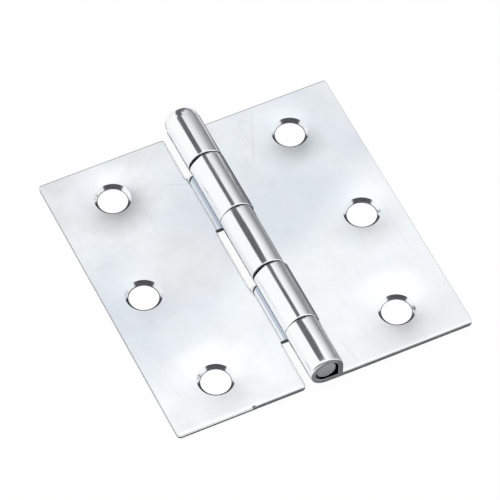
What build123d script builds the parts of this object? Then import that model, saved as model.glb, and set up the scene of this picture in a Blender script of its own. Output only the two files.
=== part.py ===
from build123d import *
from math import cos, radians, sin, tan
import os

os.makedirs("parts", exist_ok=True)

# Butt hinge lying open and flat: two sheet-steel leaves rolled round one pin.
# Millimetres. The pin runs along Y with its domed head at +Y, the leaves lie along X and
# the mounting faces are at Z = 0. The origin is under the middle of the pin.

# Leaves
leaf_length = 64.0
leaf_reach = 30.5  # pin axis to the outer edge of a leaf
sheet = 1.05
corner_radius = 0.8
edge_break = 0.12  # top edges, as sheared

# Pin and rolled eyes
pin_diameter = 3.7
running_clearance = 0.40  # pin to eye: the rolls sit loosely on the pin
drive_grip = 0.02  # the neck under the head is driven into the first eye
right_stretch_away = 0.06  # the right rolls are all but round
right_stretch_own = 0.12
left_stretch_away = 0.60  # the left rolls are drawn out away from their own leaf
left_stretch_own = 0.0
right_tuck = 0.0  # the right rolls come straight down to their leaf
left_tuck = 25.0  # the left rolls curl in this far under their widest point, in degrees
seam_gap = 0.10  # end of the roll above its own leaf
rim_break = 0.25  # broken rims of the rolls

# Knuckles, from the domed end: right, left, right, left, right
end_knuckle = 10.5  # mean of the two end ones
left_knuckle = 13.8
knuckle_gap = 0.25
knuckle_shift = 0.5  # the joints between knuckles lie this much nearer the domed end
notch_clearance = 0.3  # cut edge of a leaf to the other leaf's rolls, seen from above
root_overlap = 0.2  # how far a knuckle's root runs past the plate's rounded corner

# Pin ends
head_gap = 0.06
head_wall = 0.5  # straight part below the dome
dome_height = 2.4
head_break = 0.15
tip_recess = 0.10
tip_chamfer = 0.30

# Screw holes, sunk from the top
hole_diameter = 6.0
sink_diameter = 7.2
sink_angle = 90.0
dish_diameter = 12.6  # the sheet is drawn down softly round each hole
dish_depth = 0.15
dish_sag = 0.3  # share of the depth reached half way in
end_hole_inset = 8.7  # from the ends of a leaf
end_hole_edge = 11.7  # from the outer edge of a leaf
middle_hole_edge = 7.6

# Sizes that follow
half_length = leaf_length / 2
eye_radius = pin_diameter / 2 + running_clearance
roll_radius = eye_radius + sheet
pin_height = roll_radius
roll_top = 2 * roll_radius
eye_top = pin_height + eye_radius
notch_edge = roll_radius + left_stretch_away + notch_clearance
root = notch_edge + corner_radius + root_overlap
middle_knuckle = leaf_length - 2 * (end_knuckle + left_knuckle + 2 * knuckle_gap)
left_near = middle_knuckle / 2 + knuckle_gap
left_far = left_near + left_knuckle
right_spans = [
    (half_length - end_knuckle + knuckle_shift, half_length),
    (knuckle_shift - middle_knuckle / 2, knuckle_shift + middle_knuckle / 2),
    (-half_length, end_knuckle - half_length + knuckle_shift),
]
left_spans = [
    (knuckle_shift + left_near, knuckle_shift + left_far),
    (knuckle_shift - left_far, knuckle_shift - left_near),
]
hole_radius = hole_diameter / 2
sink_radius = sink_diameter / 2
dish_radius = dish_diameter / 2
sink_top = sheet - dish_depth
land_top = sink_top - (sink_radius - hole_radius) / tan(radians(sink_angle / 2))
dish_middle = (dish_radius + sink_radius) / 2
end_hole_x = leaf_reach - end_hole_edge
middle_hole_x = leaf_reach - middle_hole_edge
end_hole_y = half_length - end_hole_inset

# Half section of a screw hole: x outwards, y upwards. A short straight land, the cone for
# the screw's head, and the soft dish round it.
with BuildSketch() as hole_section:
    with BuildLine():
        Polyline(
            (dish_radius, sheet),
            (dish_radius, 2 * sheet),
            (0, 2 * sheet),
            (0, -sheet),
            (hole_radius, -sheet),
            (hole_radius, land_top),
            (sink_radius, sink_top),
        )
        ThreePointArc(
            (sink_radius, sink_top),
            (dish_middle, sheet - dish_sag * dish_depth),
            (dish_radius, sheet),
        )
    make_face()

# Flat plate of a leaf, drawn for the right leaf. The left one is the same, turned round.
with BuildPart() as plate:
    with BuildSketch() as outline:
        with Locations(((notch_edge + leaf_reach) / 2, 0)):
            Rectangle(leaf_reach - notch_edge, leaf_length)
        fillet(outline.vertices(), corner_radius)
    extrude(amount=sheet)
    chamfer(plate.faces().sort_by(Axis.Z)[-1].edges(), edge_break)
    for x, y in [(end_hole_x, end_hole_y), (middle_hole_x, 0), (end_hole_x, -end_hole_y)]:
        with BuildSketch(Plane(origin=(x, y, 0), x_dir=(1, 0, 0), z_dir=(0, -1, 0))):
            add(hole_section.sketch)
        revolve(axis=Axis((x, y, 0), (0, 0, 1)), mode=Mode.SUBTRACT)

# Sections of the rolled knuckles: x towards the own leaf, y upwards. The sheet runs flat under
# the pin, rolls up the far side and over the top, and comes down until its cut end stands
# on its own leaf.
roll_sections = []
for away, own, tuck in [
    (right_stretch_away, right_stretch_own, radians(right_tuck)),
    (left_stretch_away, left_stretch_own, radians(left_tuck)),
]:
    over = (radians(90) - tuck) / 2  # half way round the last arc
    tail = (pin_height - roll_radius * sin(tuck) - sheet - seam_gap) / cos(tuck)
    outer_start = (own + roll_radius * cos(tuck), pin_height - roll_radius * sin(tuck))
    inner_start = (own + eye_radius * cos(tuck), pin_height - eye_radius * sin(tuck))
    outer_end = (outer_start[0] - tail * sin(tuck), outer_start[1] - tail * cos(tuck))
    inner_end = (inner_start[0] - tail * sin(tuck), inner_start[1] - tail * cos(tuck))
    with BuildSketch() as roll_section:
        with BuildLine():
            Line((root, 0), (-away, 0))
            ThreePointArc((-away, 0), (-away - roll_radius, pin_height), (-away, roll_top))
            Line((-away, roll_top), (own, roll_top))
            ThreePointArc(
                (own, roll_top),
                (own + roll_radius * cos(over), pin_height + roll_radius * sin(over)),
                outer_start,
            )
            Polyline(outer_start, outer_end, inner_end, inner_start)
            ThreePointArc(
                inner_start,
                (own + eye_radius * cos(over), pin_height + eye_radius * sin(over)),
                (own, eye_top),
            )
            Line((own, eye_top), (-away, eye_top))
            ThreePointArc((-away, eye_top), (-away - eye_radius, pin_height), (-away, sheet))
            Polyline((-away, sheet), (root, sheet), (root, 0))
        make_face()
    roll_sections.append(roll_section.sketch)
right_roll, left_roll = roll_sections

# Right leaf: first, third and fifth knuckles.
with BuildPart() as right_leaf:
    for near, far in right_spans:
        with BuildSketch(Plane(origin=(0, far, 0), x_dir=(1, 0, 0), z_dir=(0, -1, 0))):
            add(right_roll)
        extrude(amount=far - near)
    arcs = right_leaf.edges().filter_by(GeomType.CIRCLE)
    chamfer(arcs.filter_by(lambda arc: abs(arc.radius - roll_radius) < 0.001), rim_break)
    add(plate.part)
right_leaf.part.label = "right_leaf"
export_step(right_leaf.part, "parts/right_leaf.step")

# Left leaf: second and fourth knuckles, with their section turned round.
with BuildPart() as left_leaf:
    for near, far in left_spans:
        with BuildSketch(Plane(origin=(0, near, 0), x_dir=(-1, 0, 0), z_dir=(0, 1, 0))):
            add(left_roll)
        extrude(amount=far - near)
    arcs = left_leaf.edges().filter_by(GeomType.CIRCLE)
    chamfer(arcs.filter_by(lambda arc: abs(arc.radius - roll_radius) < 0.001), rim_break)
    add(plate.part, rotation=(0, 0, 180))
left_leaf.part.label = "left_leaf"
export_step(left_leaf.part, "parts/left_leaf.step")

# Pin: plain shank, a neck driven into the first knuckle, and a low domed head as wide as
# the rolls are high.
pin_radius = pin_diameter / 2
neck_radius = eye_radius + drive_grip
neck_start = half_length - end_knuckle / 2
head_base = half_length + head_gap
head_radius = roll_radius
dome_base = head_base + head_wall
pin_tip = tip_recess - half_length
with BuildPart() as pin:
    with BuildSketch(Plane.XY.offset(pin_height)):
        with BuildLine():
            Spline(
                (head_radius, dome_base),
                (0, dome_base + dome_height),
                tangents=((0, 1), (-1, 0)),
            )
            Polyline(
                (0, dome_base + dome_height),
                (0, pin_tip),
                (pin_radius - tip_chamfer, pin_tip),
                (pin_radius, pin_tip + tip_chamfer),
                (pin_radius, neck_start),
                (neck_radius, neck_start + neck_radius - pin_radius),
                (neck_radius, head_base),
                (head_radius - head_break, head_base),
                (head_radius, head_base + head_break),
                (head_radius, dome_base),
            )
        make_face()
    revolve(axis=Axis((0, 0, pin_height), (0, 1, 0)))
pin.part.label = "pin"
export_step(pin.part, "parts/pin.step")
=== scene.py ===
# %% [markdown]
# # A butt hinge in bright zinc
# The object is a small pressed-steel butt hinge that lies open and flat. Each leaf is a single
# sheet: it is cut flat, its screw holes are punched, and its tabs are rolled round one pin.
# The steps below follow the same order, because a rolled sheet is easiest to draw while it is
# still flat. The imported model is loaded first, so every piece lands where the solids are.

# %% Load the frame
import math

import bmesh
import bpy
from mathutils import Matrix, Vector


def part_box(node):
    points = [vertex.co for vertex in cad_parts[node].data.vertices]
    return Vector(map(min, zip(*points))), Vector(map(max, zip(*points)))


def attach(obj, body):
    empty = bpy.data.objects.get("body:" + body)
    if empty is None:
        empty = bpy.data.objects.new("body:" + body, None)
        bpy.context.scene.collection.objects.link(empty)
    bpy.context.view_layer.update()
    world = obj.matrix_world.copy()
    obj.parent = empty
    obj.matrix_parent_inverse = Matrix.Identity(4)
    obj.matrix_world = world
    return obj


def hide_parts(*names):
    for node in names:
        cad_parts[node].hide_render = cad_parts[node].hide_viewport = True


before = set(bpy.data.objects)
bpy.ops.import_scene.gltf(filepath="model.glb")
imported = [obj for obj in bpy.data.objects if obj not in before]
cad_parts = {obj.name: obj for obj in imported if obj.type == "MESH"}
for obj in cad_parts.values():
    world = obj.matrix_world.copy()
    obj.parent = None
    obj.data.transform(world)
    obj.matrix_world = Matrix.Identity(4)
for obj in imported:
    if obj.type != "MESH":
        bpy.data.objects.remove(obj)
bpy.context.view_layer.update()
scene = bpy.context.scene
MM = 0.001


# %% [markdown]
# ## Camera
# The hinge is seen from high in front and a little from the left, through a long lens, so its
# parallel edges stay almost parallel. A camera far away with a narrow view does the same. The
# object's Z axis is turned to point back from the target, which is how a camera looks.

# %% Camera
view_azimuth = math.radians(-25.29)
view_elevation = math.radians(53.74)
view_target = Vector((0.05, 1.68, 0.0)) * MM
view_distance = 930
back = Vector((
    math.sin(view_azimuth) * math.cos(view_elevation),
    -math.cos(view_azimuth) * math.cos(view_elevation),
    math.sin(view_elevation),
))
camera_data = bpy.data.cameras.new("camera")
camera_data.sensor_width = 36
camera_data.lens = 352
camera_data.clip_end = 10
camera = bpy.data.objects.new("camera", camera_data)
camera.location = view_target + back * view_distance * MM
camera.rotation_euler = back.to_track_quat("Z", "Y").to_euler()
scene.collection.objects.link(camera)
scene.camera = camera
scene.view_settings.view_transform = "Standard"
print("camera", round(camera.location.length / MM), "mm away, lens", camera_data.lens)

# %% [markdown]
# ## Node trees as formulas
# The studio, the finish and the rolling of the tabs are all node trees. Wiring their Math nodes
# one by one hides what they say, so a small class stands for a number in a tree. Plus, times and
# the like each add a Math node, and each formula below then reads as it would on paper.

# %% Node trees as formulas
def put(tree, slot, value):
    if isinstance(value, Sum):
        value = value.socket
    if isinstance(value, bpy.types.NodeSocket):
        tree.links.new(value, slot)
    else:
        slot.default_value = value


class Sum:
    def __init__(self, tree, socket):
        self.tree = tree
        self.socket = socket

    def maths(self, operation, *values):
        node = self.tree.nodes.new("ShaderNodeMath")
        node.operation = operation
        for slot, value in zip(node.inputs, values):
            put(self.tree, slot, value)
        return type(self)(self.tree, node.outputs[0])

    def __add__(self, other):
        return self.maths("ADD", self, other)

    def __radd__(self, other):
        return self.maths("ADD", other, self)

    def __sub__(self, other):
        return self.maths("SUBTRACT", self, other)

    def __rsub__(self, other):
        return self.maths("SUBTRACT", other, self)

    def __mul__(self, other):
        return self.maths("MULTIPLY", self, other)

    def __truediv__(self, other):
        return self.maths("DIVIDE", self, other)

    def __pow__(self, other):
        return self.maths("POWER", self, other)

    def __abs__(self):
        return self.maths("ABSOLUTE", self)

    def sine(self):
        return self.maths("SINE", self)

    def cosine(self):
        return self.maths("COSINE", self)

    def at_least(self, limit):
        return self.maths("MAXIMUM", self, limit)

    def at_most(self, limit):
        return self.maths("MINIMUM", self, limit)


# %% [markdown]
# ## Soft steps and mixes
# Few things on a real surface begin or end sharply. So a number in a tree also knows `rise` and
# `fall`, which are soft steps between two values, and it can serve as the share in a mix of two
# colours or two shaders. Vectors are split into such numbers, and greys are written as one tone.

# %% Soft steps and mixes
class Number(Sum):
    def rise(self, low, high, start=0.0, end=1.0):
        node = self.tree.nodes.new("ShaderNodeMapRange")
        node.interpolation_type = "SMOOTHSTEP"
        names = ("Value", "From Min", "From Max", "To Min", "To Max")
        for name, value in zip(names, (self, low, high, start, end)):
            put(self.tree, node.inputs[name], value)
        return Number(self.tree, node.outputs["Result"])

    def fall(self, low, high, start=1.0, end=0.0):
        return self.rise(low, high, start, end)

    def mix_colours(self, first, second):
        node = self.tree.nodes.new("ShaderNodeMix")
        node.data_type = "RGBA"
        for index, value in ((0, self), (6, first), (7, second)):
            put(self.tree, node.inputs[index], value)
        return node.outputs[2]

    def mix_shaders(self, first, second):
        node = self.tree.nodes.new("ShaderNodeMixShader")
        for slot, value in zip(node.inputs, (self, first, second)):
            put(self.tree, slot, value)
        return node.outputs[0]


def split(tree, vector):
    node = tree.nodes.new("ShaderNodeSeparateXYZ")
    tree.links.new(vector, node.inputs[0])
    return [Number(tree, socket) for socket in node.outputs]


def grey(tone, bluer=0.0):
    return (tone, tone, tone + bluer, 1.0)


white = grey(1.0)

# %% [markdown]
# ## Studio
# Bright zinc shows the room it stands in. In the photograph the room is a white tent: white on
# both sides and overhead, a pale panel behind on the right that falls off to grey near the
# table, and the dark open front where the camera stands. Real cards would need many objects, so
# the world is painted by direction instead, from a bearing and a height in degrees. The panel is
# a colour ramp over the height.

# %% Directions and panel
studio = bpy.data.worlds.new("white_tent")
scene.world = studio
studio.use_nodes = True
studio.cycles.sampling_method = "NONE"
tent = studio.node_tree
tent.nodes.clear()
east, north, up = split(tent, tent.nodes.new("ShaderNodeTexCoord").outputs["Generated"])
bearing = north.maths("DEGREES", north.maths("ARCTAN2", north, east))
height = up.maths("DEGREES", up.maths("ARCSINE", up))

panel_tones = (
    (0.0, 0.26), (0.10, 0.31), (0.22, 0.43), (0.33, 0.58),
    (0.43, 0.74), (0.55, 0.91), (0.60, 0.97), (0.63, 1.0),
)
panel = tent.nodes.new("ShaderNodeValToRGB")
panel.color_ramp.interpolation = "CARDINAL"
for share_of_height, tone in panel_tones:
    stop = panel.color_ramp.elements.new(share_of_height)
    stop.color = (tone * 0.975, tone * 0.99, tone, 1)
panel.color_ramp.elements.remove(panel.color_ramp.elements[0])
panel.color_ramp.elements.remove(panel.color_ramp.elements[-1])
put(tent, panel.inputs[0], height / 90.0)
print("panel has", len(panel.color_ramp.elements), "tones")

# %% [markdown]
# ## Parts of the tent
# Each part is a patch of sky with soft edges. The flats mirror the middle of the panel, so the
# parts round it only show where the sheet leans. The panel's top is lit brighter than white, and
# a shade lies low on it and slopes with the bearing: they draw the light above each hole and the
# shade below it. The dark gap at the back draws the stripe along the knuckles. Its far side
# slants, which gives the stripe its width. A thin dark line stands for the far edge of the table.

# %% Parts of the tent
def sector(low, high, soft):
    return bearing.rise(low - soft, low + soft) * bearing.fall(high - soft, high + soft)


flats_mirror = 64.7
panel_side = sector(16.0, 90.0, 6.0)
lit_top = panel_side * height.rise(54.0, 58.0)
lowered = height - (bearing - flats_mirror) * 0.3
shade = sector(56.0, 90.0, 4.0) * lowered.fall(45.5, 51.5, start=0.65)
slanted = bearing - height * 0.75
gap = bearing.rise(73.5, 76.5) * slanted.fall(82.0, 86.0) * height.fall(61.0, 68.0)
open_front = sector(-172.0, -60.0, 5.0) * height.fall(54.0, 62.0)
edge_of_table = sector(30.0, 128.0, 4.0) * height.fall(1.5, 3.0)
above_table = height.rise(-0.6, 0.0)

walls = panel_side.mix_colours(white, panel.outputs[0])
for part, tone in (
    (lit_top, grey(1.18)),
    (shade, grey(0.0)),
    (gap, grey(0.12, 0.005)),
    (open_front, grey(0.09, 0.005)),
    (edge_of_table, grey(0.10)),
):
    walls = part.mix_colours(walls, tone)
walls = above_table.mix_colours(white, walls)
print("tent painted with", len(tent.nodes), "nodes")

# %% [markdown]
# ## Who sees the tent
# The photograph has a plain white ground. If the camera saw the painted tent, the ground would
# be grey and streaked, so only glossy rays see it. All other rays see plain white, which also
# lights the table evenly.

# %% Who sees the tent
def background(colour):
    node = tent.nodes.new("ShaderNodeBackground")
    put(tent, node.inputs["Color"], colour)
    return node.outputs[0]


tent_rays = tent.nodes.new("ShaderNodeLightPath").outputs
in_mirrors = Number(tent, tent_rays["Is Glossy Ray"])
sky = in_mirrors.mix_shaders(background(white), background(walls))
put(tent, tent.nodes.new("ShaderNodeOutputWorld").inputs["Surface"], sky)
print("world", studio.name, "has", len(tent.nodes), "nodes")

# %% [markdown]
# ## Table
# The hinge lies on a white table. A plain diffuse white would turn pale grey round it, so most of the
# white that the camera sees is the table's own glow. The rest is lit as usual and keeps the soft contact
# shadow. Reflections see the plain lit table instead, with painted shade in its colour: it is painted dark
# where a leaf lies close over it, and dim in the corners of the notches, under the pin's head and past the
# right leaf, where less light reaches it. Each of these is a rectangle with soft sides.

# %% Finish of the table
table_white = bpy.data.materials.new("table_white")
table_white.use_nodes = True
cover = table_white.node_tree
cover.nodes.clear()
table_point = split(cover, cover.nodes.new("ShaderNodeTexCoord").outputs["Object"])
across, along = [metres / MM for metres in table_point[:2]]
table_rays = cover.nodes.new("ShaderNodeLightPath").outputs


def rectangle(low_x, high_x, low_y, high_y, soft):
    width = across.rise(low_x - soft, low_x + soft) * across.fall(high_x - soft, high_x + soft)
    length = along.rise(low_y - soft, low_y + soft) * along.fall(high_y - soft, high_y + soft)
    return width * length


def in_reflections(places):
    shape = rectangle(*places[0])
    for place in places[1:]:
        shape = shape.at_least(rectangle(*place))
    return shape * Number(cover, table_rays["Is Glossy Ray"])


notch_corners = [(-4.25, -2.6, 6.2, 7.4, 0.15), (-4.25, -2.6, -22.5, -21.3, 0.15)]
under_head = (-4.5, 2.0, 31.5, 38.0, 0.5)
past_right_leaf = (36.0, 600.0, -600.0, 600.0, 6.0)
under_leaves = [(-30.2, -6.5, -31.7, 31.7, 0.3), (6.5, 30.2, -31.7, 31.7, 0.3)]
# Painted shade: as seen in reflections, the table's colour is darkened in these rectangles.
painted_shade_spots = in_reflections(notch_corners + [under_head, past_right_leaf])
table_colour_with_painted_shade = painted_shade_spots.mix_colours(grey(0.96), grey(0.30, 0.01))
table_colour_with_painted_shade = in_reflections(under_leaves).mix_colours(table_colour_with_painted_shade, grey(0.06, 0.002))

matt = cover.nodes.new("ShaderNodeBsdfDiffuse")
put(cover, matt.inputs["Color"], table_colour_with_painted_shade)
glow = cover.nodes.new("ShaderNodeEmission")
glow.inputs["Color"].default_value = white
glow_share = 0.94
seen = Number(cover, table_rays["Is Camera Ray"]).at_least(table_rays["Is Transmission Ray"])
top = (seen * glow_share).mix_shaders(matt.outputs[0], glow.outputs[0])
put(cover, cover.nodes.new("ShaderNodeOutputMaterial").inputs["Surface"], top)
print("table finish has", len(cover.nodes), "nodes")

# %% Table
half_table = 0.6
below_hinge = 0.02
table_corners = [(x * half_table, y * half_table, 0) for x, y in ((-1, -1), (1, -1), (1, 1), (-1, 1))]
table_mesh = bpy.data.meshes.new("table")
table_mesh.from_pydata(table_corners, [], [(0, 1, 2, 3)])
table = bpy.data.objects.new("table", table_mesh)
table.location.z = -below_hinge * MM
table_mesh.materials.append(table_white)
scene.collection.objects.link(table)
print("table", 2 * half_table, "m square")

# %% [markdown]
# ## Places on the metal
# The finish changes from place to place, so each formula needs to know where a point lies. Object
# coordinates give that, and they go with a piece when it moves. They are turned into millimetres
# once. Each piece also carries a number called `cut` on its faces: how far up the sheared side of
# the sheet the torn steel reaches. Helpers give the distance from a spot or from a line, and soft
# clouds of noise of a given size.

# %% Places on the metal
class Place:
    def __init__(self, tree):
        self.tree = tree
        self.point = tree.nodes.new("ShaderNodeTexCoord").outputs["Object"]
        self.x, self.y, self.z = [metres / MM for metres in split(tree, self.point)]
        self.near_pin = abs(self.x)
        flag = tree.nodes.new("ShaderNodeAttribute")
        flag.attribute_name = "cut"
        self.torn_reach = Number(tree, flag.outputs["Fac"])

    def vectors(self, operation, first, second):
        node = self.tree.nodes.new("ShaderNodeVectorMath")
        node.operation = operation
        put(self.tree, node.inputs[0], first)
        put(self.tree, node.inputs[1], second)
        return node.outputs

    def from_spot(self, spot):
        outputs = self.vectors("DISTANCE", self.point, Vector(spot) * MM)
        return Number(self.tree, outputs["Value"]) / MM

    def from_line(self, start, end):
        path = (Vector(end) - Vector(start)) * MM
        offset = self.vectors("SUBTRACT", self.point, Vector(start) * MM)["Vector"]
        gone = self.vectors("DOT_PRODUCT", offset, path / path.length_squared)["Value"]
        gone = Number(self.tree, gone).at_least(0.0).at_most(1.0)
        nearest = self.tree.nodes.new("ShaderNodeVectorMath")
        nearest.operation = "SCALE"
        nearest.inputs[0].default_value = path
        put(self.tree, nearest.inputs["Scale"], gone)
        outputs = self.vectors("DISTANCE", offset, nearest.outputs[0])
        return Number(self.tree, outputs["Value"]) / MM

    def cloud(self, size, detail, stretch=(1, 1, 1), offset=(0, 0, 0)):
        spread = self.tree.nodes.new("ShaderNodeMapping")
        spread.inputs["Scale"].default_value = [s / (size * MM) for s in stretch]
        spread.inputs["Location"].default_value = offset
        put(self.tree, spread.inputs["Vector"], self.point)
        noise = self.tree.nodes.new("ShaderNodeTexNoise")
        noise.inputs["Scale"].default_value = 1.0
        noise.inputs["Detail"].default_value = detail
        noise.inputs["Roughness"].default_value = 0.55
        put(self.tree, noise.inputs["Vector"], spread.outputs[0])
        return Number(self.tree, noise.outputs["Fac"])


# %% [markdown]
# ## Plating
# Zinc plate on cold-rolled sheet is a bright mirror with a breath of haze. Its colour drifts in
# soft clouds from bluish to pale. The drift follows a band across the middle of the hinge, where
# it is bluest, and turns paler towards both ends and the right side. It is warmer far from that
# band, warm patches come and go, and one warm blush lies on the left leaf. The rolling of the sheet
# leaves faint lines along the grain. Noise in object coordinates gives all of it without an image.

# %% Plating
blush = (-13.0, 3.0, 1.0)
band_slope, band_middle = 0.25, 8.0
paler_per_mm, paler_on_right = 0.0092, 0.10


def plating(place, grain, blue, pale, warm):
    away = abs(place.y - (place.x * band_slope + band_middle))
    to_the_right = place.x.rise(20.0, 30.0, end=paler_on_right)
    drift = place.cloud(20.0, 2.0) * 0.7 + away * paler_per_mm + to_the_right
    warm_patches = place.cloud(21.0, 3.0, offset=(3.1, 1.7, 0.4))
    colour = drift.rise(0.29, 0.58).mix_colours(blue, pale)
    colour = warm_patches.rise(0.54, 0.74, end=0.7).mix_colours(colour, warm)
    colour = away.rise(33.0, 42.0, end=0.8).mix_colours(colour, warm)
    colour = place.from_spot(blush).fall(3.0, 11.0, start=0.7).mix_colours(colour, warm)
    return grain.rise(0.5, 0.8, end=0.25).mix_colours(colour, blue)


# %% [markdown]
# ## Rolled metal
# The die has burnished the rolls, so they are paler than the flats. Their lower right side is darkened
# with painted shade, which stays dark up to its outline: on a bare metal the outline always turns white,
# unless the tint at its edge is darkened too. The crease under the rolls is painted a blue-grey shade.
# These are tints by place, so one material covers a whole leaf.

# %% Rolled metal
burnished = grey(0.97, 0.005)
painted_side_shade = (0.40, 0.405, 0.42, 1)
painted_outline_shade = grey(0.20, 0.01)
crease_shade_blue = (0.54, 0.59, 0.68, 1)


# Painted shade: the lower right side of the rolls is darkened in the base colour and, up to its outline,
# in the specular tint.
def side_shade_mask(place):
    on_rolls = place.near_pin.fall(4.1, 4.4, start=0.85) * place.z.rise(1.3, 2.2)
    return place.z.fall(4.7, 5.8) * place.x.rise(1.4, 2.2) * on_rolls


def rolled_metal(place, side_shade, colour):
    crest = place.near_pin.fall(3.6, 4.4, start=0.85) * place.z.rise(1.3, 2.2)
    on_upper_face = place.z.fall(1.15, 1.5) * place.z.rise(0.7, 0.95)
    # Painted shade: the crease under the rolls, which lies in shade, is tinted blue-grey.
    crease_shade = place.near_pin.fall(3.2, 3.6) * on_upper_face
    for share, tint in ((crest, burnished), (side_shade, painted_side_shade), (crease_shade, crease_shade_blue)):
        colour = share.mix_colours(colour, tint)
    return colour


# %% [markdown]
# ## Marks of handling
# Four faint scratches and one burr on the near edge of the left leaf are all the wear there is.
# They are too shallow for the outline, so each is a tint that fades with the distance from it.

# %% Marks of handling
scratches = [
    ((14.0, 30.5, 1.0), (9.2, 19.3, 1.0)), ((12.7, 28.6, 1.0), (10.9, 30.1, 1.0)),
    ((6.1, -25.3, 1.0), (6.9, -30.8, 1.0)), ((-8.2, 21.9, 1.0), (-4.9, 20.5, 1.0)),
]
burr = (-15.0, -32.0, 1.0)
scratch_grey = (0.40, 0.41, 0.42, 1)
burr_grey = grey(0.10, 0.005)


def marks(place, colour):
    for start, end in scratches:
        line = place.from_line(start, end).fall(0.05, 0.30, start=0.13)
        colour = line.mix_colours(colour, scratch_grey)
    return place.from_spot(burr).fall(0.20, 0.55, start=0.85).mix_colours(colour, burr_grey)


print("marks are", len(scratches), "scratches and one burr")

# %% [markdown]
# ## Sheared edges
# Where the sheet was sheared, the upper part of the cut is smooth and plated, and the lower part
# is torn steel: darker and rough. The number `cut` says how high the torn part reaches, as a
# share of the sheet. On the rolls the cut stands on end, so there the number is simply how much
# torn steel shows. Low numbers belong to the screw holes and the outer edges, whose torn part lies
# in shadow and looks almost black.

# %% Sheared edges
sheet = 1.05
plate_begins = (4.3, 4.6)
torn_dark = (0.09, 0.092, 0.10, 1)
torn_light = (0.25, 0.255, 0.265, 1)
shadow_dark = grey(0.015, 0.001)


def torn_zone(place):
    above_torn = place.z / sheet - place.torn_reach
    on_plate = above_torn.fall(-0.10, -0.02) * place.near_pin.rise(*plate_begins)
    on_rolls = place.torn_reach * place.near_pin.fall(*plate_begins)
    return on_plate + on_rolls


def torn_steel(place, torn):
    steel = torn.mix_colours(torn_dark, torn_light)
    return place.torn_reach.rise(0.6, 0.85).mix_colours(shadow_dark, steel)


# %% [markdown]
# ## Zinc finish
# All of this comes together in one metal. Its haze varies a little, the torn steel is rougher,
# and a bump far finer than the sheet gives the skin of the plating, the grain and the tears. The
# pin is brighter and more even than the sheet, so it has colours of its own.

# %% Zinc finish
torn_roughness = 0.28
haze_spread = 0.06
bump_strength, bump_height = 0.25, 0.004


def zinc(name, blue, pale, warm, polish):
    material = bpy.data.materials.new(name)
    material.use_nodes = True
    tree = material.node_tree
    shader = tree.nodes["Principled BSDF"]
    place = Place(tree)
    grain = place.cloud(9.0, 5.0, stretch=(14, 1, 14))
    torn = place.cloud(0.9, 4.0, stretch=(1, 1, 0.4))
    cut = torn_zone(place)
    side_shade = side_shade_mask(place)
    colour = plating(place, grain, blue, pale, warm)
    colour = rolled_metal(place, side_shade, colour)
    colour = marks(place, colour)
    colour = cut.mix_colours(colour, torn_steel(place, torn))
    haze = place.cloud(5.0, 4.0).rise(0.3, 0.7, polish, polish + haze_spread)
    bump = tree.nodes.new("ShaderNodeBump")
    bump.inputs["Strength"].default_value = bump_strength
    bump.inputs["Distance"].default_value = bump_height * MM
    relief = place.cloud(0.7, 3.0) + grain * 0.6 + cut * (torn * 6.0)
    put(tree, bump.inputs["Height"], relief)
    put(tree, shader.inputs["Base Color"], colour)
    # Painted shade on the lower right side of the rolls also darkens the specular tint there.
    put(tree, shader.inputs["Specular Tint"], side_shade.mix_colours(white, painted_outline_shade))
    put(tree, shader.inputs["Metallic"], 1.0)
    put(tree, shader.inputs["Roughness"], haze + cut * torn_roughness)
    put(tree, shader.inputs["Normal"], bump.outputs[0])
    print(name, "has", len(tree.nodes), "nodes")
    return material


zinc_sheet = zinc("zinc_sheet", blue=(0.785, 0.825, 0.875, 1), pale=(0.94, 0.968, 0.99, 1),
                  warm=(0.88, 0.87, 0.875, 1), polish=0.12)
zinc_pin = zinc("zinc_pin", blue=(0.90, 0.92, 0.945, 1), pale=(0.95, 0.96, 0.97, 1),
                warm=(0.93, 0.92, 0.915, 1), polish=0.11)

# %% [markdown]
# ## Sizes of the sheet
# The sizes are those of the solids, in millimetres. While the sheet is flat, x is the distance
# along it, y runs along the pin and z through its thickness. The tab is as long as its path:
# half a turn up the far side, a short flat over the pin, a curl down past level by the angle
# called tuck, and a straight tail that stands on its own leaf.

# %% Sizes of the sheet
right_low, right_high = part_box("right_leaf")
left_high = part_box("left_leaf")[1]
leaf_reach = right_high.x / MM
half_length = right_high.y / MM
roll_radius = right_high.z / MM / 2
right_rolls = {
    "away": -right_low.x / MM - roll_radius, "own": 0.12, "tuck": 0.0,
    "spans": [(22.0, 32.0), (-6.7, 7.7), (-32.0, -21.0)],
}
left_rolls = {
    "away": left_high.x / MM - roll_radius, "own": 0.0, "tuck": math.radians(25),
    "spans": [(6.95, 20.75), (-21.75, -7.95)],
}
notch_clearance = 0.3
notch_edge = roll_radius + left_rolls["away"] + notch_clearance
seam_gap = 0.10
corner_radius = 0.8
holes = [(18.8, 23.3), (22.9, 0.0), (18.8, -23.3)]


def tail_start(rolls):
    curled = (1.5 * math.pi + rolls["tuck"]) * roll_radius
    return -2 * rolls["away"] - rolls["own"] - curled


def tab_end(rolls):
    drop = roll_radius * (1 - math.sin(rolls["tuck"])) - sheet - seam_gap
    return tail_start(rolls) - drop / math.cos(rolls["tuck"])


for rolls in (right_rolls, left_rolls):
    print("tabs are", round(notch_edge - tab_end(rolls), 2), "mm long before they are rolled")

# %% [markdown]
# ## Screw holes
# Each hole has a short straight land, a cone for the screw's head and, round that, a shallow
# dish where the punch has drawn the sheet down. The punch went in a little deeper at some holes
# than at others, and the mirror shows it, so each dish has a depth of its own. A turned section
# gives all three forms. It is walked from the flat top, down through the hole, to the flat
# underside, as a list of radius and height. The cone has the slope of a screw's head, 45 degrees.

# %% Section of a screw hole
hole_radius, sink_radius, dish_radius = 2.93, 3.6, 10.0
patch_half, patch_round = 6.8, 6.45
dish_rings = 12
right_dishes = (0.145, 0.135, 0.19)
left_dishes = (0.125, 0.05, 0.155)


def drawn_down(radius, dish):
    share = max(0.0, (dish_radius - radius) / (dish_radius - sink_radius))
    return dish * share**2


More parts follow.
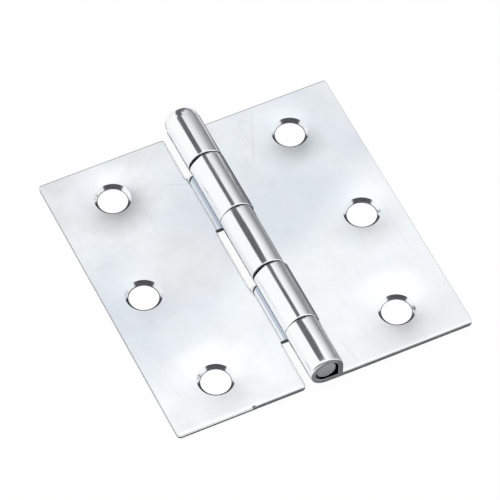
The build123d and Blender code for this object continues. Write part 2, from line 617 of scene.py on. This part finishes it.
def hole_section(dish):
    section = []
    for step in range(dish_rings + 1):
        radius = patch_round - (patch_round - sink_radius) * step / dish_rings
        section.append((radius, sheet - drawn_down(radius, dish)))
    land_top = section[-1][1] - (sink_radius - hole_radius)
    worn_step = [(0.12, land_top + 0.12), (0.04, land_top + 0.035), (0.0, land_top - 0.04)]
    lower_rim = [(0.0, 0.10), (0.015, 0.04), (0.06, 0.0), (0.5, 0.0)]
    return section + [(hole_radius + out, z) for out, z in worn_step + lower_rim]


print("hole section has", len(hole_section(right_dishes[0])), "rings")

# %% [markdown]
# ## Grid of the blank
# The blank is a rectangle with tabs, drawn as a grid of small cells so that it can bend
# smoothly. A grid with some cells left out gives any outline made of straight cuts. Its lines run
# through every corner and notch, and along the square that is left out round each hole. One more
# line close inside each edge keeps the smooth shading of the edge from spreading over the flat.

# %% Grid of the blank
plate_cell, turn_cell, tail_cell, root_cell = 0.47, 0.2, 0.4, 0.45
edge_line = 0.26


def grid_lines(stretches):
    lines = [stretches[0][0]]
    for low, high, cell in stretches:
        count = max(1, round((high - low) / cell))
        lines += [low + (high - low) * k / count for k in range(1, count + 1)]
    return lines


def stretches_between(stops):
    stops = sorted(set(round(stop, 4) for stop in stops))
    return [(low, high, plate_cell) for low, high in zip(stops, stops[1:])]


def across_lines(rolls):
    roll_start = -rolls["away"]
    half_turn = roll_start - math.pi * roll_radius
    curl_start = half_turn - rolls["away"] - rolls["own"]
    bent = [
        (tab_end(rolls), tail_start(rolls), tail_cell),
        (tail_start(rolls), curl_start, turn_cell),
        (curl_start, half_turn, turn_cell),
        (half_turn, roll_start, turn_cell),
        (roll_start, notch_edge, root_cell),
    ]
    stops = [notch_edge, notch_edge + corner_radius]
    stops += [leaf_reach - inset for inset in (corner_radius, edge_line, 0.0)]
    for x, y in holes:
        stops += [x - patch_half, x + patch_half]
    return grid_lines(bent + stretches_between(stops))


def along_lines(spans):
    stops = []
    for inset in (0.0, edge_line, corner_radius):
        stops += [inset - half_length, half_length - inset]
    for near, far in spans:
        stops += [near, far]
    for x, y in holes:
        stops += [y - patch_half, y + patch_half]
    return grid_lines(stretches_between(stops))


for rolls in (right_rolls, left_rolls):
    print("grid of", len(across_lines(rolls)), "by", len(along_lines(rolls["spans"])), "lines")

# %% [markdown]
# ## Rounded corners
# The corners of a leaf are rounded by easing the corner cells onto a quarter circle, which keeps
# the grid whole. The shear left the corners at the domed end sharper, so those are eased only part
# of the way.

# %% Rounded corners
def ease_corner(x, y, corner_x, corner_y, inward_x, inward_y, share):
    out_x = 1 - (x - corner_x) * inward_x / corner_radius
    out_y = 1 - (y - corner_y) * inward_y / corner_radius
    if out_x <= 0 or out_y <= 0:
        return x, y
    round_x = out_x * (1 - share + share * math.sqrt(1 - out_y * out_y / 2))
    round_y = out_y * (1 - share + share * math.sqrt(1 - out_x * out_x / 2))
    eased_x = corner_x + (1 - round_x) * corner_radius * inward_x
    eased_y = corner_y + (1 - round_y) * corner_radius * inward_y
    return eased_x, eased_y


# %% [markdown]
# ## Points of the blank
# A point of the grid is made once and kept, so that neighbouring cells share it. The upper side
# sinks into the dishes. The left leaf is drawn as a right one and turned round later, so its ends
# change places. Only that leaf has corners at the notch, as the tabs of the right one reach its ends.

# %% Points of the blank
class Blank:
    def __init__(self, rolls, dishes, ease_high, ease_low):
        self.rolls = rolls
        self.dishes = dishes
        self.xs = across_lines(rolls)
        self.ys = along_lines(rolls["spans"])
        ends = ((half_length, -1, ease_high), (-half_length, 1, ease_low))
        self.corners = [(leaf_reach, end, -1, inward, ease) for end, inward, ease in ends]
        if max(far for near, far in rolls["spans"]) < half_length - corner_radius:
            self.corners += [(notch_edge, end, 1, inward, ease) for end, inward, ease in ends]
        self.bm = bmesh.new()
        self.weight = self.bm.edges.layers.float.new("bevel_weight_edge")
        self.made = {}

    def middle(self, i, j):
        return (self.xs[i] + self.xs[i + 1]) / 2, (self.ys[j] + self.ys[j + 1]) / 2

    def is_sheet(self, i, j):
        if not (0 <= i < len(self.xs) - 1 and 0 <= j < len(self.ys) - 1):
            return False
        x, y = self.middle(i, j)
        return x > notch_edge or any(near < y < far for near, far in self.rolls["spans"])

    def is_hole(self, i, j):
        x, y = self.middle(i, j)
        return any(max(abs(x - hole_x), abs(y - hole_y)) < patch_half for hole_x, hole_y in holes)

    def top_height(self, x, y):
        drops = [
            drawn_down(math.hypot(x - hole_x, y - hole_y), dish)
            for (hole_x, hole_y), dish in zip(holes, self.dishes)
        ]
        return sheet - sum(drops)

    def vertex(self, x, y, z):
        return self.bm.verts.new((x * MM, y * MM, z * MM))

    def point(self, i, j, level):
        key = (i, j, level)
        if key not in self.made:
            x, y = self.xs[i], self.ys[j]
            for corner in self.corners:
                x, y = ease_corner(x, y, *corner)
            self.made[key] = self.vertex(x, y, self.top_height(x, y) * level)
        return self.made[key]


# %% [markdown]
# ## Cells of the blank
# Each cell of the sheet has an upper and a lower face, and a wall where it has no neighbour. The
# edges of the walls get a weight, which the bevel uses later. A shear rounds the upper edge more
# than the lower one. On a tab the lower side becomes the outside of the roll, and its rim is
# rounded most of all. The rim under the pin's head and the upper outer edge of the left leaf are
# sharp, and the near edge of that leaf is almost sharp in its outer half.

# %% Cells of the blank
sheared_edge = {"upper": 0.42, "lower": 0.20}
roll_rim = {"upper": 0.20, "lower": 0.62}
rim_under_head = {"upper": 0.0, "lower": 0.0}
crisp_end_weight, crisp_end_start = 0.08, 15.0
tabs_below = 0.5
sides = ((0, -1), (1, 0), (0, 1), (-1, 0))


def edge_weights(blank, i, j, step_x, step_y):
    at_high_end = blank.ys[j + 1] > half_length - 0.01
    weights = sheared_edge
    if blank.xs[i + 1] < tabs_below and step_y != 0:
        weights = rim_under_head if at_high_end else roll_rim
    upper = weights["upper"]
    if blank.rolls is left_rolls and at_high_end and blank.xs[i] > crisp_end_start:
        upper = crisp_end_weight
    if blank.rolls is left_rolls and step_x == 1:
        upper = 0.0
    return upper, weights["lower"]


def add_cell(blank, i, j):
    ring = [(i, j), (i + 1, j), (i + 1, j + 1), (i, j + 1)]
    if not blank.is_hole(i, j):
        blank.bm.faces.new([blank.point(a, b, 1) for a, b in ring])
        blank.bm.faces.new([blank.point(a, b, 0) for a, b in reversed(ring)])
    for k, (step_x, step_y) in enumerate(sides):
        if blank.is_sheet(i + step_x, j + step_y):
            continue
        start, end = ring[k], ring[(k + 1) % 4]
        top = [blank.point(*start, 1), blank.point(*end, 1)]
        bottom = [blank.point(*start, 0), blank.point(*end, 0)]
        blank.bm.faces.new([bottom[0], bottom[1], top[1], top[0]])
        upper, lower = edge_weights(blank, i, j, step_x, step_y)
        blank.bm.edges.get(top)[blank.weight] = upper
        blank.bm.edges.get(bottom)[blank.weight] = lower


# %% [markdown]
# ## Holes in the blank
# The square that is left out round a hole is filled with rings: a few that go over from the
# square to a circle, and then the turned section. All rings have as many points as the square has
# on its sides, so they join without a seam.

# %% Holes in the blank
square_to_circle = (0.35, 0.7)


def nearest_line(lines, value):
    return min(range(len(lines)), key=lambda k: abs(lines[k] - value))


def square_round(blank, hole_x, hole_y):
    i0 = nearest_line(blank.xs, hole_x - patch_half)
    i1 = nearest_line(blank.xs, hole_x + patch_half)
    j0 = nearest_line(blank.ys, hole_y - patch_half)
    j1 = nearest_line(blank.ys, hole_y + patch_half)
    loop = [(i, j0) for i in range(i0, i1)] + [(i1, j) for j in range(j0, j1)]
    return loop + [(i, j1) for i in range(i1, i0, -1)] + [(i0, j) for j in range(j1, j0, -1)]


def add_hole(blank, hole_x, hole_y, dish):
    loop = square_round(blank, hole_x, hole_y)
    square = [(blank.xs[i], blank.ys[j]) for i, j in loop]
    turns = [math.atan2(y - hole_y, x - hole_x) for x, y in square]
    rings = [[blank.point(i, j, 1) for i, j in loop]]
    for share in square_to_circle:
        ring = []
        for (x, y), turn in zip(square, turns):
            x += share * (hole_x + patch_round * math.cos(turn) - x)
            y += share * (hole_y + patch_round * math.sin(turn) - y)
            ring.append(blank.vertex(x, y, blank.top_height(x, y)))
        rings.append(ring)
    for radius, z in hole_section(dish):
        circle = [(hole_x + radius * math.cos(turn), hole_y + radius * math.sin(turn)) for turn in turns]
        rings.append([blank.vertex(x, y, z) for x, y in circle])
    rings.append([blank.point(i, j, 0) for i, j in loop])
    for outer, inner in zip(rings, rings[1:]):
        for k in range(len(loop)):
            n = (k + 1) % len(loop)
            blank.bm.faces.new([outer[k], outer[n], inner[n], inner[k]])


# %% [markdown]
# ## Flat leaves
# The cells and the holes make one closed mesh. A count of open edges proves it. Rounding its
# edges by hand would take many small faces, so a Bevel modifier does it, by the weights.

# %% Flat leaves
bevel_width, bevel_steps = 0.40, 4


def flat_leaf(name, rolls, dishes, ease_high, ease_low):
    blank = Blank(rolls, dishes, ease_high, ease_low)
    for i in range(len(blank.xs) - 1):
        for j in range(len(blank.ys) - 1):
            if blank.is_sheet(i, j):
                add_cell(blank, i, j)
    for (hole_x, hole_y), dish in zip(holes, dishes):
        add_hole(blank, hole_x, hole_y, dish)
    bmesh.ops.recalc_face_normals(blank.bm, faces=blank.bm.faces[:])
    for face in blank.bm.faces:
        face.smooth = True
    open_edges = sum(1 for edge in blank.bm.edges if len(edge.link_faces) != 2)
    mesh = bpy.data.meshes.new(name)
    blank.bm.to_mesh(mesh)
    blank.bm.free()
    leaf = bpy.data.objects.new(name, mesh)
    scene.collection.objects.link(leaf)
    bevel = leaf.modifiers.new("rounded edges", "BEVEL")
    bevel.limit_method = "WEIGHT"
    bevel.width = bevel_width * MM
    bevel.segments = bevel_steps
    print(name, "blank:", len(mesh.polygons), "faces,", open_edges, "open edges")
    return leaf


sharper, round_corner = 0.45, 1.0
right_leaf = flat_leaf("leaf_with_three_knuckles", right_rolls, right_dishes, sharper, round_corner)
left_leaf = flat_leaf("leaf_with_two_knuckles", left_rolls, left_dishes, round_corner, sharper)

# %% [markdown]
# ## Press for the tabs
# A press pushes the tabs round a mandrel. The points could be bent one by one in Python, but a
# Geometry Nodes tree is one recipe that both leaves go through, each with its own numbers. Its
# inputs are those numbers, in millimetres and radians. The tree starts from where a point lies on
# the flat sheet.

# %% Press for the tabs
rolling = bpy.data.node_groups.new("roll_the_tabs", "GeometryNodeTree")
rolling.is_modifier = True
rolling.interface.new_socket("Geometry", in_out="OUTPUT", socket_type="NodeSocketGeometry")
rolling.interface.new_socket("Geometry", in_out="INPUT", socket_type="NodeSocketGeometry")
number_labels = (
    "Roll radius", "Stretch away", "Stretch own", "Tuck", "Squeeze", "Flattened", "Dressed end",
    "First drawn out", "Plate wander", "Roll wander", "Turn", "Seed",
)
kinds = [(label, "NodeSocketFloat") for label in number_labels] + [("Finish", "NodeSocketMaterial")]
inputs = {}
for label, kind in kinds:
    inputs[label] = rolling.interface.new_socket(label, in_out="INPUT", socket_type=kind).identifier
given = rolling.nodes.new("NodeGroupInput").outputs
settings = [Number(rolling, given[label]) for label in number_labels]
radius, away, own, tuck, squeeze, flattened = settings[:6]
dressed, drawn, plate_wander, roll_wander, turn, seed = settings[6:]
flat_point = rolling.nodes.new("GeometryNodeInputPosition").outputs[0]
x, y, depth = [metres / MM for metres in split(rolling, flat_point)]
print("press has", len(inputs), "inputs")

# %% [markdown]
# ## Unevenness of the sheet
# A pressed sheet wanders by a few hundredths of a millimetre, which makes its reflections waver.
# Slow noise does this: broad on the plates, and long and narrow on the rolls. Its seed is an
# input, so the leaves differ but each run is the same. The shear has also rolled over the upper
# edge at the near end of both leaves.

# %% Unevenness of the sheet
roll_over_width, roll_over_depth = 0.45, 0.02
plate_waves, roll_waves = (15.0, 15.0), (3.5, 13.0)


def wander(size_x, size_y):
    spread = rolling.nodes.new("ShaderNodeVectorMath")
    spread.operation = "DIVIDE"
    put(rolling, spread.inputs[0], flat_point)
    spread.inputs[1].default_value = (size_x * MM, size_y * MM, 1.0)
    noise = rolling.nodes.new("ShaderNodeTexNoise")
    noise.noise_dimensions = "4D"
    noise.inputs["Scale"].default_value = 1.0
    noise.inputs["Detail"].default_value = 1.0
    put(rolling, noise.inputs["Vector"], spread.outputs[0])
    put(rolling, noise.inputs["W"], seed)
    return Number(rolling, noise.outputs[0]) - 0.5


on_roll = x.fall(-0.5, 4.0)
on_plate = 1.0 - on_roll
from_near_end = half_length + turn.cosine() * y
roll_over = (1.0 - from_near_end / roll_over_width).at_least(0.0) ** 2.0
roll_over = roll_over * on_plate * depth.rise(0.4, 0.9, end=roll_over_depth)
uneven = wander(*plate_waves) * plate_wander * on_plate + wander(*roll_waves) * roll_wander * on_roll
depth = depth + uneven - roll_over
print("unevenness takes the press to", len(rolling.nodes), "nodes")

# %% [markdown]
# ## Shape of the rolls
# No roll is quite round. The left ones were squeezed: their shoulders are drawn in, so the crest
# is sharper and its stripe narrow. The third and fifth were left a little flat beside the crest,
# most of all half way along, so their stripe is broad there. The near rim of the barrel was dressed
# on a wheel, which pushed it in. All of these move a point through the thickness of the sheet: the
# first two by a hump on each side of the crest, the last by a share that fades away from the rim.

# %% Shape of the rolls
hump_reach = 6.0
flat_beside_crest = 1.0
flat_middle, flat_repeat = 0.5, 27.0
dressed_width = 0.45
dressed_from, dressed_to = (4.5, 7.0), (8.6, 11.0)


def humps(distance):
    swing = (distance / hump_reach).at_least(-1.0).at_most(1.0) * math.pi
    return abs(swing.sine()) ** 2.0


roll_start = away * -1.0
past_start = roll_start - x
half_turn = radius * math.pi
top_flat = away + own
from_crest = past_start - (half_turn + top_flat * 0.5)
half_way_along = abs(((y - flat_middle) * (math.pi / flat_repeat)).cosine()) ** 2.0
flat_part = humps(from_crest + flat_beside_crest) * half_way_along * y.fall(8.0, 20.0)
near_rim = (1.0 - (y + half_length) / dressed_width).at_least(0.0) ** 2.0
dressed_part = near_rim * past_start.rise(*dressed_from) * past_start.fall(*dressed_to)
depth = depth + humps(from_crest) * squeeze - flat_part * flattened + dressed_part * dressed
print("shape takes the press to", len(rolling.nodes), "nodes")

# %% [markdown]
# ## Rolling the tabs
# Every point past the start of the roll is carried round the same path that the solids have, and
# keeps its depth in the sheet. One formula covers flat, turn and tail, because each stretch of
# the path is the distance along the sheet, held between the two ends of that stretch. The end of
# the first roll is drawn out over its leaf, to the side on which the pin's head sits over.

# %% Rolling the tabs
drawn_from, first_roll_from = (11.5, 14.5), (21.3, 21.7)
curl = tuck + math.pi / 2
past_turn = past_start - half_turn
past_top = past_turn - top_flat
along_top = past_turn.at_least(0.0).at_most(top_flat)
down_tail = (past_top - radius * curl).at_least(0.0)
angle = (past_start / radius).at_least(0.0).at_most(math.pi)
angle = angle + (past_top / radius).at_least(0.0).at_most(curl)
inner_radius = radius - depth
drawn_out = past_start.rise(*drawn_from) * y.rise(*first_roll_from) * drawn
rolled_x = x.at_least(roll_start) + along_top + drawn_out
rolled_x = rolled_x - inner_radius * angle.sine() - down_tail * tuck.sine()
rolled_z = radius - inner_radius * angle.cosine() - down_tail * tuck.cosine()
rolled_point = rolling.nodes.new("ShaderNodeCombineXYZ")
for slot, value in zip(rolled_point.inputs, (rolled_x, y, rolled_z)):
    put(rolling, slot, value * MM)
print("rolling takes the press to", len(rolling.nodes), "nodes")

# %% [markdown]
# ## Torn steel on the cuts
# Sheared faces are easy to tell while the sheet is flat: they stand upright. Those that look along
# the pin are almost wholly torn, and the sides of the notches hardly at all. The outer edges are
# torn for about a third of their height, and the holes for half. Beyond the burr, the near edge of
# the left leaf was cut cleaner. The number is kept on the faces as `cut`, for the finish.

# %% Torn steel on the cuts
notch_torn, end_torn, outer_edge_torn, hole_torn = 0.12, 0.9, 0.36, 0.5
cleaner_share = 0.47
_, normal_y, normal_z = split(rolling, rolling.nodes.new("GeometryNodeInputNormal").outputs[0])
upright = abs(normal_z).fall(0.25, 0.55)
far_out = x.rise(6.0, 8.0)
from_edge = (leaf_reach - x).at_most(half_length - abs(y))
in_holes = far_out * from_edge.rise(1.0, 1.5)
cleaner = normal_y.rise(0.4, 0.6) * x.rise(14.6, 15.2) * turn.at_most(1.0)
torn_reach = upright * abs(normal_y).rise(0.2, 0.8, notch_torn, end_torn)
torn_reach = torn_reach.at_least(upright * far_out * outer_edge_torn)
torn_reach = torn_reach * (1.0 - cleaner * cleaner_share)
torn_reach = torn_reach * (1.0 - in_holes) + upright * in_holes * hole_torn
mark = rolling.nodes.new("GeometryNodeStoreNamedAttribute")
mark.data_type = "FLOAT"
mark.domain = "FACE"
mark.inputs["Name"].default_value = "cut"
put(rolling, mark.inputs["Geometry"], given["Geometry"])
put(rolling, mark.inputs["Value"], torn_reach)
print("marking takes the press to", len(rolling.nodes), "nodes")

# %% [markdown]
# ## Steps of the press
# The marked sheet now goes through the press in order: its points move onto the rolled path, the
# left leaf is turned half round, and the finish is set. Realize Instances comes before the finish,
# so that the tree gives plain faces whatever it was fed.

# %% Steps of the press
move = rolling.nodes.new("GeometryNodeSetPosition")
put(rolling, move.inputs["Geometry"], mark.outputs[0])
put(rolling, move.inputs["Position"], rolled_point.outputs[0])
turn_axis = rolling.nodes.new("ShaderNodeCombineXYZ")
put(rolling, turn_axis.inputs[2], turn)
turned = rolling.nodes.new("GeometryNodeTransform")
put(rolling, turned.inputs["Geometry"], move.outputs[0])
put(rolling, turned.inputs["Rotation"], turn_axis.outputs[0])
real = rolling.nodes.new("GeometryNodeRealizeInstances")
put(rolling, real.inputs[0], turned.outputs[0])
coat = rolling.nodes.new("GeometryNodeSetMaterial")
put(rolling, coat.inputs["Geometry"], real.outputs[0])
put(rolling, coat.inputs["Material"], given["Finish"])
put(rolling, rolling.nodes.new("NodeGroupOutput").inputs[0], coat.outputs[0])
print("whole press has", len(rolling.nodes), "nodes")

# %% [markdown]
# ## Rolled leaves
# The tree runs once on each flat leaf, with that leaf's own faults and seed. The result replaces
# the flat mesh, so the modifiers can go. Edges steeper than the small bevels are kept sharp in the
# shading.

# %% Rolled leaves
sharp_angle = math.radians(39)
both_leaves = {"Roll radius": roll_radius, "Plate wander": 0.05, "Roll wander": 0.07, "Finish": zinc_sheet}
right_faults = {"Squeeze": 0.0, "Flattened": 0.14, "Dressed end": 0.25, "First drawn out": 0.35}
left_faults = {"Squeeze": 0.30, "Flattened": 0.0, "Dressed end": 0.0, "First drawn out": 0.0}


def roll_up(leaf, rolls, faults, half_round, seed):
    path = {"Stretch away": rolls["away"], "Stretch own": rolls["own"], "Tuck": rolls["tuck"]}
    own_numbers = {"Turn": half_round, "Seed": seed}
    press = leaf.modifiers.new("roll the tabs", "NODES")
    press.node_group = rolling
    for label, value in {**both_leaves, **path, **faults, **own_numbers}.items():
        press[inputs[label]] = value
    made = bpy.data.meshes.new_from_object(leaf.evaluated_get(bpy.context.evaluated_depsgraph_get()))
    leaf.modifiers.clear()
    flat = leaf.data
    leaf.data = made
    bpy.data.meshes.remove(flat)
    made.name = leaf.name
    made.set_sharp_from_angle(angle=sharp_angle)
    print(leaf.name, "rolled:", sum(len(p.vertices) - 2 for p in made.polygons), "triangles")


roll_up(right_leaf, right_rolls, right_faults, 0.0, 2.0)
roll_up(left_leaf, left_rolls, left_faults, math.pi, 7.0)

# %% [markdown]
# ## Section of the pin
# The pin is turned from rod. Its plain shank runs through the knuckles, a thicker neck is driven
# into the first one, and its head at the far end is a low dome as wide as the knuckles. Its near
# end is cut off flush, which has swollen the tip a little. The dome is a smooth curve that leaves
# the wall of the head straight on and arrives level at the top. Two pulls, one at each end, set how
# full it is.

# %% Section of the pin
pin_radius, tip_radius, neck_radius = 1.85, 2.0, 2.27
head_radius = roll_radius
near_end, neck_start, head_base = -31.9, 26.75, 32.06
head_seat = 0.03
head_wall = 0.5
dome_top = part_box("pin")[1].y / MM
dome_steps = 32
wall_pull, top_pull = 5.88, 5.41


def dome_point(t):
    dome_base = head_base + head_wall
    r = head_radius * (2 * t**3 - 3 * t**2 + 1) - top_pull * (t**3 - t**2)
    y = (dome_top - dome_base) * (3 * t**2 - 2 * t**3) + wall_pull * (t**3 - 2 * t**2 + t)
    return r, dome_base + y


def pin_section():
    tip = [(0.55, 0.0), (1.1, 0.01), (tip_radius - 0.30, 0.03), (tip_radius - 0.14, 0.09)]
    tip += [(tip_radius - 0.03, 0.2), (tip_radius, 0.34), (tip_radius, 0.8), (pin_radius, 1.2)]
    shank = [-30.0, -28.0, -26.0, -24.0, -22.0, -20.0, 12.0, 16.0, 20.0, 24.0, neck_start]
    section = [(r, near_end + y) for r, y in tip] + [(pin_radius, y) for y in shank]
    section += [(neck_radius, neck_start + neck_radius - pin_radius)]
    section += [(neck_radius, head_base - head_seat), (head_radius, head_base - head_seat)]
    section += [(head_radius, head_base + head_wall)]
    return section + [dome_point(step / dome_steps) for step in range(1, dome_steps)]


print("pin section has", len(pin_section()), "rings")

# %% [markdown]
# ## Rings of the pin
# A turned piece is a section spun round an axis, so rings of points are laid along the axis. The
# axis is not quite straight: the shank is loose in the rolls and its last stretch bends up a
# little, and the head sits over to the right and is slightly wider than it is high.

# %% Rings of the pin
pin_height = roll_radius
tip_bend, bend_start, bend_length = 0.22, -20.0, 11.9
head_offset, offset_start, offset_length = 0.25, 12.0, 14.0
head_widening = 1.03


def lift(y):
    return tip_bend * min(1.0, max(0.0, (bend_start - y) / bend_length)) ** 2


def set_over(y):
    return head_offset * min(1.0, max(0.0, (y - offset_start) / offset_length)) ** 2


def pin_ring(bm, r, y, points):
    wide = head_widening if y > head_base - 0.1 else 1.0
    ring = []
    for k in range(points):
        turn_round = 2 * math.pi * k / points
        x = set_over(y) + wide * r * math.cos(turn_round)
        z = pin_height + lift(y) + r * math.sin(turn_round)
        ring.append(bm.verts.new((x * MM, y * MM, z * MM)))
    return ring


print("tip bends up", round(lift(near_end), 2), "mm, head sits over", round(set_over(dome_top), 2), "mm")

# %% [markdown]
# ## Pin
# The rings are joined into one closed skin, with a point at each end. The near face is marked as
# torn steel.

# %% Pin
face_torn = 0.75
pin_sharp_angle = math.radians(42)


def turned_pin(name, points=128):
    bm = bmesh.new()
    cut = bm.faces.layers.float.new("cut")
    rings = [pin_ring(bm, r, y, points) for r, y in pin_section()]
    near = bm.verts.new((0, near_end * MM, (pin_height + lift(near_end)) * MM))
    top = bm.verts.new((set_over(dome_top) * MM, dome_top * MM, pin_height * MM))
    for k in range(points):
        n = (k + 1) % points
        bm.faces.new([near, rings[0][k], rings[0][n]])
        bm.faces.new([top, rings[-1][n], rings[-1][k]])
        for first, second in zip(rings, rings[1:]):
            bm.faces.new([first[k], second[k], second[n], first[n]])
    bmesh.ops.recalc_face_normals(bm, faces=bm.faces[:])
    for face in bm.faces:
        face.smooth = True
        face[cut] = face_torn if face.calc_center_median().y < (near_end + 0.3) * MM else 0.0
    mesh = bpy.data.meshes.new(name)
    bm.to_mesh(mesh)
    bm.free()
    mesh.set_sharp_from_angle(angle=pin_sharp_angle)
    mesh.materials.append(zinc_pin)
    piece = bpy.data.objects.new(name, mesh)
    scene.collection.objects.link(piece)
    print(name, "has", len(mesh.polygons), "faces")
    return piece


pin = turned_pin("domed_pin")

# %% [markdown]
# ## Joining the frame
# Each piece stands for one solid and rides on the body that carries it: the pin is driven into
# the right leaf and goes with it, and the left leaf swings.

# %% Joining the frame
for piece, node, body, finish in ((right_leaf, "right_leaf", "frame_leaf", "zinc_sheet"),
                                  (pin, "pin", "frame_leaf", "zinc_pin"),
                                  (left_leaf, "left_leaf", "door_leaf", "zinc_sheet")):
    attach(piece, body)
    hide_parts(node)
